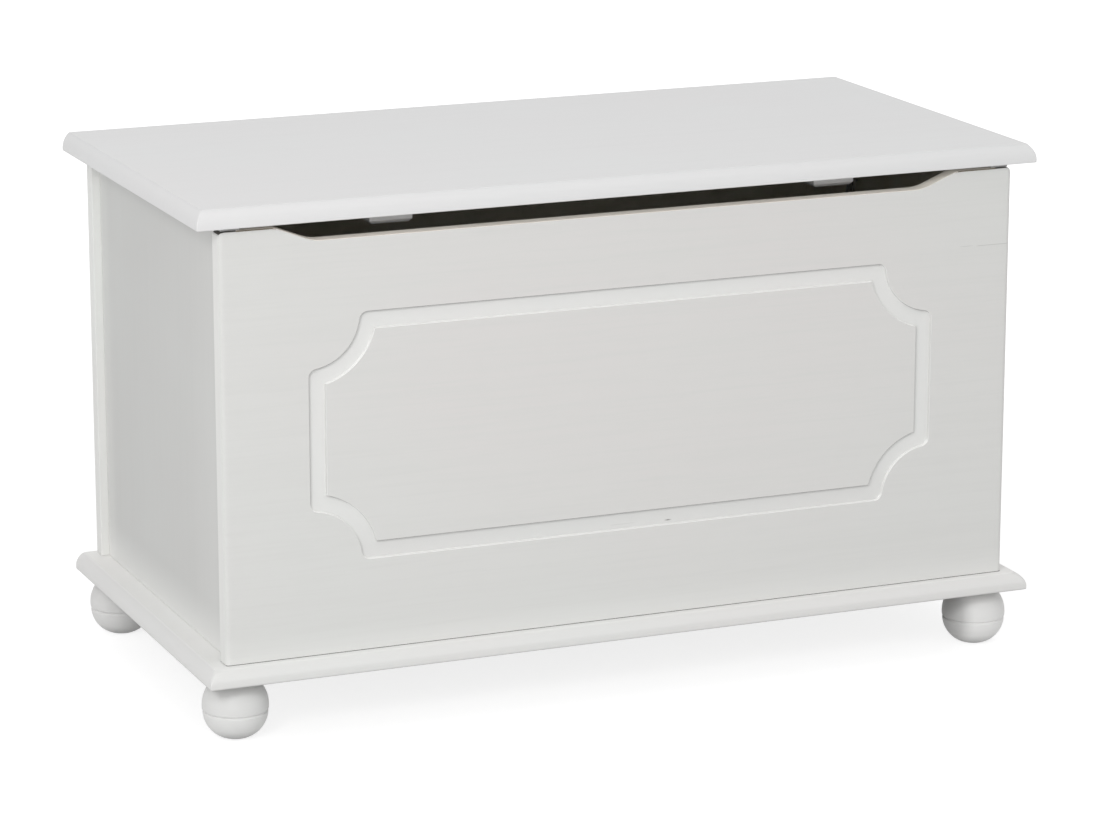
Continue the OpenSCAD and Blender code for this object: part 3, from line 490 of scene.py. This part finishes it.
def wall_board(name, node, top, y_out, y_in, mats, channel=False):
    """A front or back panel: an elevation pushed through its thickness, with soft arrises."""
    bm = bmesh.new()
    corner = fillet((BOX_X, BASE_TOP), (BOX_X, WALL_TOP), (0.0, WALL_TOP), CORNER_R)
    outline = [(-BOX_X, BASE_TOP), (BOX_X, BASE_TOP)] + corner + top + [(-x, z) for x, z in reversed(corner)]
    near = loop_verts(bm, [(x, y_out, z) for x, z in outline])
    far = loop_verts(bm, [(x, y_in, z) for x, z in outline])
    bm.faces.new(near)
    bm.faces.new(far[::-1])
    bridge(bm, near, far, flip=True)
    bmesh.ops.recalc_face_normals(bm, faces=bm.faces)
    weight = bm.edges.layers.float.new("bevel_weight_edge")
    for e in bm.edges:
        if e.calc_face_angle(0) >= math.radians(20):
            e[weight] = arris_share(e.verts[0].co, e.verts[1].co, y_out, y_in, bool(top))
    me = bpy.data.meshes.new("tmp")
    bm.to_mesh(me)
    bm.free()
    tmp = bpy.data.objects.new("tmp", me)
    bpy.context.scene.collection.objects.link(tmp)
    mod = tmp.modifiers.new("b", "BEVEL")
    mod.limit_method = "WEIGHT"
    mod.width = ARRIS_R
    mod.segments = 6
    mod.use_clamp_overlap = False
    dg = bpy.context.evaluated_depsgraph_get()
    bm = bmesh.new()
    bm.from_mesh(tmp.evaluated_get(dg).to_mesh())
    bpy.data.objects.remove(tmp)
    bpy.data.meshes.remove(me)
    bmesh.ops.remove_doubles(bm, verts=bm.verts, dist=0.001)
    if channel:
        bm.normal_update()
        face = max((f for f in bm.faces if f.normal.y < -0.99), key=lambda f: f.calc_area())
        rim = list(face.edges)
        bmesh.ops.delete(bm, geom=[face], context="FACES_ONLY")
        prof = channel_profile()
        offsets = [(d, depth) for d, depth in prof] + [(-d, depth) for d, depth in reversed(prof)]
        loops = [loop_verts(bm, [(x, y_out + depth, z) for x, z in channel_loop(d)]) for d, depth in offsets]
        for a, b in zip(loops, loops[1:]):
            bridge(bm, a, b)
        bm.faces.new(loops[-1])
        bmesh.ops.remove_doubles(bm, verts=[v for lp in loops for v in lp], dist=0.002)
        hole = [e for e in bm.edges if len(e.link_faces) == 1 and e not in rim]
        bmesh.ops.triangle_fill(bm, edges=rim + hole, use_beauty=True, normal=(0, -1, 0))
    for side in (-INNER_X, INNER_X):
        bmesh.ops.bisect_plane(bm, geom=list(bm.faces) + list(bm.edges) + list(bm.verts),
                               plane_co=(side, 0, 0), plane_no=(1, 0, 0))
    for f in bm.faces:
        f.normal_update()
        f.material_index = panel_material(f, y_out, y_in, bool(top))
    return add_object(name, bm, node, mats)


wall_board("front_panel_painted", "front_panel", hand_gap_points(), FRONT_Y, FRONT_IN,
           [paint_x, pine_mat, paint_edge, paint_wall, paint_channel, paint_cut, seam_mat, worn_and_shaded_mat], channel=True)
wall_board("back_panel_painted", "back_panel", [], BACK_Y, BACK_IN,
           [paint_edge, pine_mat] + [paint_edge] * 6)


# ---------------------------------------------------------------- lid and base board
def rounding(z, t, r_low, r_high):
    """Inset of a plain edge with rounded arrises, at height z over the underside."""
    if z < r_low:
        return r_low - math.sqrt(max(0.0, r_low ** 2 - (r_low - z) ** 2))
    if z > t - r_high:
        return r_high - math.sqrt(max(0.0, r_high ** 2 - (z - t + r_high) ** 2))
    return 0.0


def moulding(z, t, reach, land, turn):
    """Inset of the moulded edge: a small round below, an upright land, then an arc up to the top face."""
    if z < land:
        return rounding(z, t, EDGE_LOW_R, 0.0)
    rise = t - land
    chord = math.hypot(reach, rise)
    r = chord / 2 / math.sin(math.radians(turn) / 2)
    back = r * math.cos(math.radians(turn) / 2) / chord
    cx, cz = reach / 2 + back * rise, (land + t) / 2 - back * reach
    return cx - math.sqrt(max(0.0, r * r - (z - cz) ** 2))


def moulded_slab(name, node, edge, holes, mats):
    """The lid or the base board.

    mats[1] and mats[2], where given, are for the top inside the box and for the ends.
    """
    reach, land, turn, ease = edge
    lo, hi = (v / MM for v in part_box(node))
    t = hi.z - lo.z
    back_r, corner_n = 1.0, 4
    zs = set()
    for i in range(7):
        zs.add(EDGE_LOW_R * (1 - math.cos(math.pi / 2 * i / 6)))
    for i in range(21):
        zs.add(land + (t - land) * math.sin(math.pi / 2 * i / 20))
    for i in range(4):
        zs.add(back_r * (1 - math.cos(math.pi / 2 * i / 3)))
        zs.add(t - back_r + back_r * math.sin(math.pi / 2 * i / 3))
    zs = sorted(zs)
    zs = [z for i, z in enumerate(zs) if i == 0 or z - zs[i - 1] > 0.004]
    bm = bmesh.new()
    rings = []
    for z in zs:
        i = moulding(z, t, reach, land, turn)
        plan_r = 1.0 + ease * i
        ib = rounding(z, t, back_r, back_r)
        x, y0, y1 = hi.x - i, lo.y + i, hi.y - ib
        pts = arc(-x + plan_r, y0 + plan_r, plan_r, 180, 270, corner_n)
        pts += arc(x - plan_r, y0 + plan_r, plan_r, 270, 360, corner_n)
        pts += arc(x - back_r, y1 - back_r, back_r, 0, 90, corner_n)
        pts += arc(-x + back_r, y1 - back_r, back_r, 90, 180, corner_n)
        rings.append(loop_verts(bm, [(px, py, lo.z + z) for px, py in pts]))
    for a, b in zip(rings, rings[1:]):
        bridge(bm, a, b)
    if len(mats) > 1:
        for f in bm.faces:
            f.normal_update()
            # faces that look sideways take mats[2], on the base board the ends' paint with its stronger painted
            # shade
            if abs(f.normal.x) > 0.35:
                f.material_index = 2
        x, y0, y1 = INNER_X, (FRONT_Y + FRONT_IN) / 2, (BACK_Y + BACK_IN) / 2
        patch = loop_verts(bm, [(px, py, hi.z) for px, py in ((-x, y0), (x, y0), (x, y1), (-x, y1))])
        bm.faces.new(patch).material_index = 1
        bmesh.ops.triangle_fill(bm, edges=loop_edges(bm, rings[-1]) + loop_edges(bm, patch), use_beauty=True,
                                normal=(0, 0, 1))
    else:
        bm.faces.new(rings[-1])
    under = loop_edges(bm, rings[0])
    for cx, cy in holes:
        rim = loop_verts(bm, [(px, py, lo.z) for px, py in circle(cx, cy, SCREW_HEAD_R, 48)])
        seat = loop_verts(bm, [(px, py, lo.z + SCREW_SEAT_H) for px, py in circle(cx, cy, SCREW_SEAT_R, 48)])
        bridge(bm, rim, seat, flip=True)
        bm.faces.new(seat)
        under += loop_edges(bm, rim)
    bmesh.ops.triangle_fill(bm, edges=under, use_beauty=True, normal=(0, 0, -1))
    return add_object(name, bm, node, mats)


screw_holes = [(x, y) for x in BASE_SCREW_X for y in ((FRONT_Y + FRONT_IN) / 2, (BACK_Y + BACK_IN) / 2)]
screw_holes += [(s * END_SCREW_X, y) for s in (-1, 1) for y in BASE_SCREW_END_Y]
moulded_slab("lid_painted", "lid_panel", LID_EDGE, [], [paint_lid])
moulded_slab("base_board_painted", "base_board", BASE_EDGE, screw_holes, [paint_base, pine_mat, paint_base_end_shaded])


# ---------------------------------------------------------------- feet
def soften_corner(before, corner, after, reach, n=5):
    """Points of a curve that rounds off a corner, starting and ending the given distance from it."""
    b, c, a = Vector(before), Vector(corner), Vector(after)
    p = c + (b - c).normalized() * reach
    q = c + (a - c).normalized() * reach
    return [tuple(p * (1 - s) ** 2 + c * 2 * s * (1 - s) + q * s ** 2) for s in (i / n for i in range(n + 1))]


FOOT_R, FOOT_H, RING_UP, RING_D = 31.0, 59.0, 25.5, 1.8
LOWER_R, LOWER_CURVE, UPPER_Z = 30.4, 26.7, 30.5
LIP_LOW, LIP_HIGH = 1.17, 1.6          # how far the ring's lips are from its root, outwards and in height
LOWER_END, UPPER_START = 1.3, 1.8      # height between the ring's root and the end of each lobe's curve


def foot_profile():
    """Half section of a foot from the floor up, as (radius, height)."""
    lower = [(LOWER_R - LOWER_CURVE + LOWER_CURVE * math.cos(a), RING_UP + LOWER_CURVE * math.sin(a))
             for a in (-math.asin(RING_UP / LOWER_CURVE) * (1 - i / 30) for i in range(31))]
    lower = [p for p in lower if p[1] < RING_UP - LOWER_END]
    upper = [(FOOT_R * math.cos(a), UPPER_Z + FOOT_R * math.sin(a))
             for a in (math.radians(-8 + (66.8 + 8) * i / 34) for i in range(35))]
    upper = [p for p in upper if RING_UP + UPPER_START < p[1] < FOOT_H - 0.05]
    root = (FOOT_R - RING_D, RING_UP)
    lip_low = (root[0] + LIP_LOW, RING_UP - LIP_LOW)
    lip_high = (root[0] + LIP_HIGH, RING_UP + LIP_HIGH)
    pts = [(0.0, 0.0), (lower[0][0] - 1.2, 0.0)]
    pts += [(lower[0][0] - 0.5, 0.06)] + [p for p in lower if p[1] > 0.35]
    pts += soften_corner(lower[-1], lip_low, root, 0.6)
    pts += soften_corner(lip_low, root, lip_high, 0.25, 3)
    pts += soften_corner(root, lip_high, upper[0], 0.6)
    pts += upper
    pts += [(math.sqrt(FOOT_R ** 2 - (FOOT_H - UPPER_Z) ** 2), FOOT_H), (0.0, FOOT_H)]
    return pts


def turned_foot(name, node):
    """The foot's half section turned about its upright axis."""
    lo, hi = (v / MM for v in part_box(node))
    cx, cy = (lo.x + hi.x) / 2, (lo.y + hi.y) / 2
    bm = bmesh.new()
    n = 96
    turns = [2 * math.pi * k / n for k in range(n)]
    bottom = bm.verts.new((cx, cy, 0.0))
    top = bm.verts.new((cx, cy, FOOT_H))
    rings = [loop_verts(bm, [(cx + r * math.cos(a), cy + r * math.sin(a), z) for a in turns])
             for r, z in foot_profile()[1:-1]]
    for a, b in zip(rings, rings[1:]):
        bridge(bm, a, b)
    for k in range(n):
        bm.faces.new((bottom, rings[0][(k + 1) % n], rings[0][k]))
        bm.faces.new((top, rings[-1][k], rings[-1][(k + 1) % n]))
    return add_object(name, bm, node, [paint_turned], sharp=60)


for end in ("front", "rear"):
    for side in ("left", "right"):
        turned_foot(f"foot_{end}_{side}_turned", f"foot_{end}_{side}")


# ---------------------------------------------------------------- boards and plates with straight arrises
def soften(name, node, width, shortest, mats, segments=3, inward=0):
    """The CAD node's own shape, with its long straight arrises rounded.

    width is the rounding's, shortest the length below which an edge stays sharp. Where inward is 1 or -1,
    faces that look that way along x get mats[1].
    """
    bm = bmesh.new()
    bm.from_mesh(NODES[node].data)
    bmesh.ops.scale(bm, vec=(1 / MM,) * 3, verts=bm.verts)
    bmesh.ops.remove_doubles(bm, verts=bm.verts, dist=0.001)
    bmesh.ops.dissolve_limit(bm, angle_limit=math.radians(0.5), verts=bm.verts, edges=bm.edges)
    for f in bm.faces:
        f.material_index = 0
    sharp = [e for e in bm.edges if len(e.link_faces) == 2 and e.calc_face_angle(0) > math.radians(30)
             and e.calc_length() > shortest]
    bmesh.ops.bevel(bm, geom=sharp, offset=width, offset_type="OFFSET", segments=segments, profile=0.5,
                    affect="EDGES", clamp_overlap=False)
    bmesh.ops.recalc_face_normals(bm, faces=bm.faces)
    for f in bm.faces:
        if f.normal.x * inward > 0.9:
            f.material_index = 1
    return add_object(name, bm, node, mats)


for side, inward in (("left", 1), ("right", -1)):
    soften(f"side_panel_{side}_painted", f"side_panel_{side}", 1.0, 3.0, [paint_side, pine_mat], inward=inward)
    soften(f"lid_batten_{side}_painted", f"lid_batten_{side}", 0.6, 3.0, [paint_lid])
    soften(f"lid_buffer_{side}_pad", f"lid_buffer_{side}", 0.5, 1.0, [felt_mat])
    soften(f"hinge_{side}_box_leaf_plate", f"hinge_{side}_box_leaf", 0.2, 3.0, [zinc_mat], 2)
    soften(f"hinge_{side}_lid_leaf_plate", f"hinge_{side}_lid_leaf", 0.2, 3.0, [zinc_mat], 2)

for n, o in NODES.items():
    if o.data.materials:
        o.data.materials[0] = MATERIAL[SLOT_OF[n]]
    else:
        o.data.materials.append(MATERIAL[SLOT_OF[n]])


# ---------------------------------------------------------------- floor, background and light
def light_path_share(t):
    """1 for what the camera, a gloss or a clear body sees, 0 for light that lands on the object."""
    lp = t.node("ShaderNodeLightPath")
    return t.calc(t.calc(lp.outputs["Is Camera Ray"], lp.outputs["Is Glossy Ray"], "MAXIMUM"),
                 lp.outputs["Is Transmission Ray"], "MAXIMUM")


LIFT = 0.8             # how much of the floor's white is its own near the object, for the camera and for gloss
GLOW = 0.35            # and how much of it comes from the lamps, so that the object's shadow shows


def make_floor():
    bm = bmesh.new()
    bmesh.ops.create_grid(bm, x_segments=1, y_segments=1, size=40)
    me = bpy.data.meshes.new("floor")
    bm.to_mesh(me)
    bm.free()
    floor = bpy.data.objects.new("floor", me)
    bpy.context.scene.collection.objects.link(floor)
    t = Tree("floor")
    seen = light_path_share(t)
    far = t.node("ShaderNodeVectorMath", {0: t.coords}, operation="LENGTH").outputs["Value"]
    strength = t.ramp(far, 0.9, 2.4, LIFT, 1.0)
    bounce = t.node("ShaderNodeBsdfDiffuse", {"Color": (0.8, 0.8, 0.8, 1)})
    white = t.node("ShaderNodeBsdfDiffuse", {"Color": (GLOW, GLOW, GLOW, 1)})
    lift = t.node("ShaderNodeEmission", {"Color": (1, 1, 1, 1), "Strength": strength})
    pale = t.node("ShaderNodeAddShader", {0: white.outputs[0], 1: lift.outputs[0]})
    mix = t.node("ShaderNodeMixShader", {0: seen, 1: bounce.outputs[0], 2: pale.outputs[0]})
    out = t.node("ShaderNodeOutputMaterial")
    t.nt.links.new(mix.outputs[0], out.inputs["Surface"])
    me.materials.append(t.mat)


def make_world(strength):
    world = bpy.data.worlds.new("studio")
    world.use_nodes = True
    nt = world.node_tree
    nt.nodes.clear()
    lp = nt.nodes.new("ShaderNodeLightPath")
    most = nt.nodes.new("ShaderNodeMath")
    most.operation = "MAXIMUM"
    nt.links.new(lp.outputs["Is Camera Ray"], most.inputs[0])
    nt.links.new(lp.outputs["Is Glossy Ray"], most.inputs[1])
    both = nt.nodes.new("ShaderNodeMath")
    both.operation = "MAXIMUM"
    nt.links.new(most.outputs[0], both.inputs[0])
    nt.links.new(lp.outputs["Is Transmission Ray"], both.inputs[1])
    level = nt.nodes.new("ShaderNodeMapRange")
    level.inputs["To Min"].default_value = strength
    level.inputs["To Max"].default_value = 1.0
    nt.links.new(both.outputs[0], level.inputs["Value"])
    bg = nt.nodes.new("ShaderNodeBackground")
    nt.links.new(level.outputs["Result"], bg.inputs["Strength"])
    out = nt.nodes.new("ShaderNodeOutputWorld")
    nt.links.new(bg.outputs[0], out.inputs["Surface"])
    bpy.context.scene.world = world


def area_light(name, place, aim, size, watts):
    data = bpy.data.lights.new(name, "AREA")
    data.shape = "RECTANGLE"
    data.size, data.size_y = size
    data.energy = watts
    o = bpy.data.objects.new(name, data)
    o.location = place
    o.rotation_euler = (Vector(aim) - Vector(place)).to_track_quat("-Z", "Y").to_euler()
    bpy.context.scene.collection.objects.link(o)


make_floor()
make_world(0.76)
area_light("key", (-2.6, -2.6, 2.2), (0, 0, 0.3), (0.9, 0.9), 33)
area_light("front", (-1.6, -3.3, 1.9), (0, 0, 0.3), (2.2, 1.8), 25)
area_light("top", (0.4, 0.3, 4.4), (0.1, 0.1, 0.3), (3.6, 3.6), 32)


# ---------------------------------------------------------------- camera
# Solved from the photo's straight edges: the focal length in its pixels, and the view's turn and tilt
IMAGE_W = 1100.0
SENSOR_W = 36.0
FOCAL_PX, AZIMUTH, ELEVATION = 4211.2, 22.696, 14.233
camera = bpy.data.cameras.new("camera")
camera.sensor_width = SENSOR_W
camera.lens = SENSOR_W * FOCAL_PX / IMAGE_W
camera.clip_end = 100.0
eye = bpy.data.objects.new("camera", camera)
eye.location = (-1.5422, -3.6967, 1.2450)
az, el = math.radians(AZIMUTH), math.radians(ELEVATION)
look = Vector((math.sin(az) * math.cos(el), math.cos(az) * math.cos(el), -math.sin(el)))
eye.rotation_euler = look.to_track_quat("-Z", "Y").to_euler()
bpy.context.scene.collection.objects.link(eye)
bpy.context.scene.camera = eye
bpy.context.scene.view_settings.view_transform = "Standard"
